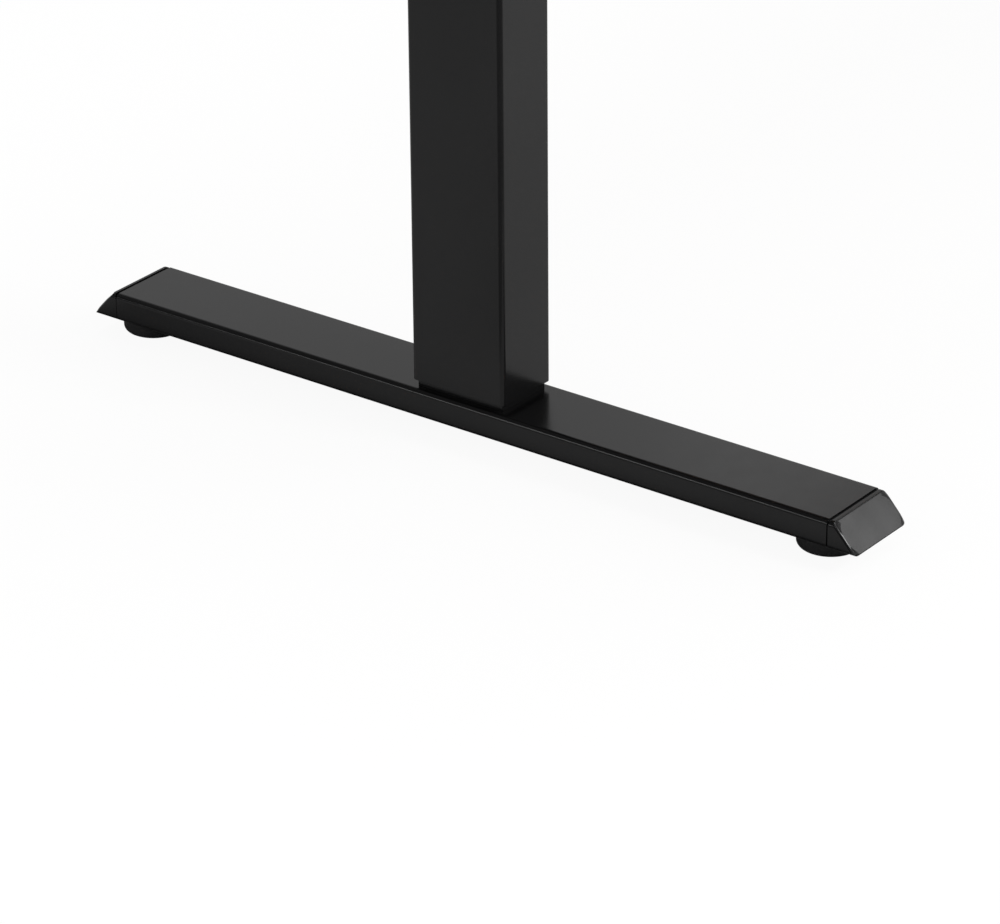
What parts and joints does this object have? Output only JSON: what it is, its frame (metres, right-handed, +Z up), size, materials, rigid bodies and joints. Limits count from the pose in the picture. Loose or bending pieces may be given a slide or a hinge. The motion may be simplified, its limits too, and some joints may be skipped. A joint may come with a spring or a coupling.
{
  "type": "height adjustable standing desk",
  "caption": "Electric sit-stand desk: T-shaped legs with sliding rectangular columns on flat slant-ended feet carry a crossbeam frame and a wooden desktop.",
  "frame": {"origin": "on the floor under the middle of the desktop", "axes": "+X to the user's right along the desktop's width, +Y away from the user, +Z up"},
  "size_m": [1.4, 0.7, 0.72],
  "materials": {
    "powder_coat": "fine textured satin black powder coat over steel",
    "cap_plastic": "moulded black plastic with a satin sheen",
    "glide_plastic": "moulded black plastic, matte",
    "zinc_steel": "bright zinc plated steel",
    "collar_plastic": "moulded black plastic, matte",
    "guide_plastic": "natural acetal, slightly translucent off-white",
    "nut_brass": "turned brass",
    "spindle_steel": "rolled bright steel",
    "gear_case_plastic": "glass filled black nylon",
    "motor_paint": "drawn steel can in black paint",
    "top_wood": "walnut toned wood laminate, straight grain along the width",
    "band_wood": "matching wood toned edge band",
    "rubber": "black rubber",
    "grommet_plastic": "moulded black plastic, matte",
    "control_plastic": "finely grained black plastic",
    "board_laminate": "green circuit board with soldered parts",
    "display_lens": "smoked clear plastic",
    "button_plastic": "light grey plastic caps"
  },
  "bodies": {
    "left_leg": {"left_foot_tube": "powder_coat", "left_end_caps": "cap_plastic", "left_weld_nuts": "zinc_steel", "left_column_base": "powder_coat", "left_base_screws": "zinc_steel", "left_outer_tube": "powder_coat", "left_column_collar": "collar_plastic", "left_push_tube": "spindle_steel", "left_spindle_nut": "nut_brass"},
    "right_leg": {"right_foot_tube": "powder_coat", "right_end_caps": "cap_plastic", "right_weld_nuts": "zinc_steel", "right_column_base": "powder_coat", "right_base_screws": "zinc_steel", "right_outer_tube": "powder_coat", "right_column_collar": "collar_plastic", "right_push_tube": "spindle_steel", "right_spindle_nut": "nut_brass"},
    "left_spindle": {"left_spindle": "spindle_steel", "left_worm_wheel": "guide_plastic"},
    "left_worm": {"left_worm_shaft": "spindle_steel"},
    "left_front_pad": {"left_front_pad": "glide_plastic"},
    "left_front_stud": {"left_front_stud": "zinc_steel"},
    "left_back_pad": {"left_back_pad": "glide_plastic"},
    "left_back_stud": {"left_back_stud": "zinc_steel"},
    "right_spindle": {"right_spindle": "spindle_steel", "right_worm_wheel": "guide_plastic"},
    "right_worm": {"right_worm_shaft": "spindle_steel"},
    "right_front_pad": {"right_front_pad": "glide_plastic"},
    "right_front_stud": {"right_front_stud": "zinc_steel"},
    "right_back_pad": {"right_back_pad": "glide_plastic"},
    "right_back_stud": {"right_back_stud": "zinc_steel"},
    "up_button": {"up_button": "button_plastic"},
    "down_button": {"down_button": "button_plastic"},
    "memory_1_button": {"memory_1_button": "button_plastic"},
    "memory_2_button": {"memory_2_button": "button_plastic"},
    "memory_3_button": {"memory_3_button": "button_plastic"},
    "upper_frame": {"left_inner_tube": "powder_coat", "right_inner_tube": "powder_coat", "slide_sleeves": "guide_plastic", "spindle_bearings": "zinc_steel", "gear_cases": "gear_case_plastic", "motors": "motor_paint", "left_column_head": "powder_coat", "right_column_head": "powder_coat", "left_side_arm": "powder_coat", "right_side_arm": "powder_coat", "crossbeam_rails": "powder_coat", "frame_bolts": "zinc_steel", "desktop": "top_wood", "edge_band": "band_wood", "desktop_screws": "zinc_steel", "rubber_pads": "rubber", "grommet_sleeves": "grommet_plastic", "grommet_caps": "grommet_plastic", "control_box_housing": "control_plastic", "control_box_cover": "control_plastic", "circuit_boards": "board_laminate", "handset_case": "control_plastic", "handset_display": "display_lens"}
  },
  "joints": [
    {"name": "lift", "type": "slide", "parent": "left_leg", "child": "upper_frame", "axis": [0, 0, 1], "range_m": [0, 0.45]},
    {"name": "right_lift", "type": "slide", "parent": "upper_frame", "child": "right_leg", "axis": [0, 0, -1], "range_m": [0, 0.45]},
    {"name": "left_spindle_turn", "type": "hinge", "parent": "upper_frame", "child": "left_spindle", "pos_m": [-0.56, 0, 0.67], "axis": [0, 0, 1], "range_deg": [0, 20251]},
    {"name": "left_worm_turn", "type": "hinge", "parent": "upper_frame", "child": "left_worm", "pos_m": [-0.56, 0.0203, 0.672], "axis": [1, 0, 0], "range_deg": [0, 303751]},
    {"name": "left_front_pad_travel", "type": "slide", "parent": "left_leg", "child": "left_front_pad", "axis": [0, 0, -1], "range_m": [0, 0.008]},
    {"name": "left_front_stud_turn", "type": "hinge", "parent": "left_front_pad", "child": "left_front_stud", "pos_m": [-0.56, -0.275, 0.01], "axis": [0, 0, -1], "range_deg": [0, 2304]},
    {"name": "left_back_pad_travel", "type": "slide", "parent": "left_leg", "child": "left_back_pad", "axis": [0, 0, -1], "range_m": [0, 0.008]},
    {"name": "left_back_stud_turn", "type": "hinge", "parent": "left_back_pad", "child": "left_back_stud", "pos_m": [-0.56, 0.2835, 0.01], "axis": [0, 0, -1], "range_deg": [0, 2304]},
    {"name": "right_spindle_turn", "type": "hinge", "parent": "upper_frame", "child": "right_spindle", "pos_m": [0.56, 0, 0.67], "axis": [0, 0, 1], "range_deg": [0, 20251]},
    {"name": "right_worm_turn", "type": "hinge", "parent": "upper_frame", "child": "right_worm", "pos_m": [0.56, 0.0203, 0.672], "axis": [1, 0, 0], "range_deg": [0, 303751]},
    {"name": "right_front_pad_travel", "type": "slide", "parent": "right_leg", "child": "right_front_pad", "axis": [0, 0, -1], "range_m": [0, 0.008]},
    {"name": "right_front_stud_turn", "type": "hinge", "parent": "right_front_pad", "child": "right_front_stud", "pos_m": [0.56, -0.275, 0.01], "axis": [0, 0, -1], "range_deg": [0, 2304]},
    {"name": "right_back_pad_travel", "type": "slide", "parent": "right_leg", "child": "right_back_pad", "axis": [0, 0, -1], "range_m": [0, 0.008]},
    {"name": "right_back_stud_turn", "type": "hinge", "parent": "right_back_pad", "child": "right_back_stud", "pos_m": [0.56, 0.2835, 0.01], "axis": [0, 0, -1], "range_deg": [0, 2304]},
    {"name": "up_press", "type": "slide", "parent": "upper_frame", "child": "up_button", "axis": [0, 1, 0], "range_m": [0, 0.0008], "stiffness_N_per_m": 800},
    {"name": "down_press", "type": "slide", "parent": "upper_frame", "child": "down_button", "axis": [0, 1, 0], "range_m": [0, 0.0008], "stiffness_N_per_m": 800},
    {"name": "memory_1_press", "type": "slide", "parent": "upper_frame", "child": "memory_1_button", "axis": [0, 1, 0], "range_m": [0, 0.0008], "stiffness_N_per_m": 800},
    {"name": "memory_2_press", "type": "slide", "parent": "upper_frame", "child": "memory_2_button", "axis": [0, 1, 0], "range_m": [0, 0.0008], "stiffness_N_per_m": 800},
    {"name": "memory_3_press", "type": "slide", "parent": "upper_frame", "child": "memory_3_button", "axis": [0, 1, 0], "range_m": [0, 0.0008], "stiffness_N_per_m": 800}
  ],
  "couplings": [
    {"joint": "right_lift", "follows": "lift", "ratio": 1},
    {"joint": "left_spindle_turn", "follows": "lift", "rad_per_m": 785.4},
    {"joint": "left_worm_turn", "follows": "lift", "rad_per_m": 11781},
    {"joint": "left_front_stud_turn", "follows": "left_front_pad_travel", "rad_per_m": 5026.6},
    {"joint": "left_back_stud_turn", "follows": "left_back_pad_travel", "rad_per_m": 5026.6},
    {"joint": "right_spindle_turn", "follows": "lift", "rad_per_m": 785.4},
    {"joint": "right_worm_turn", "follows": "lift", "rad_per_m": 11781},
    {"joint": "right_front_stud_turn", "follows": "right_front_pad_travel", "rad_per_m": 5026.6},
    {"joint": "right_back_stud_turn", "follows": "right_back_pad_travel", "rad_per_m": 5026.6}
  ]
}
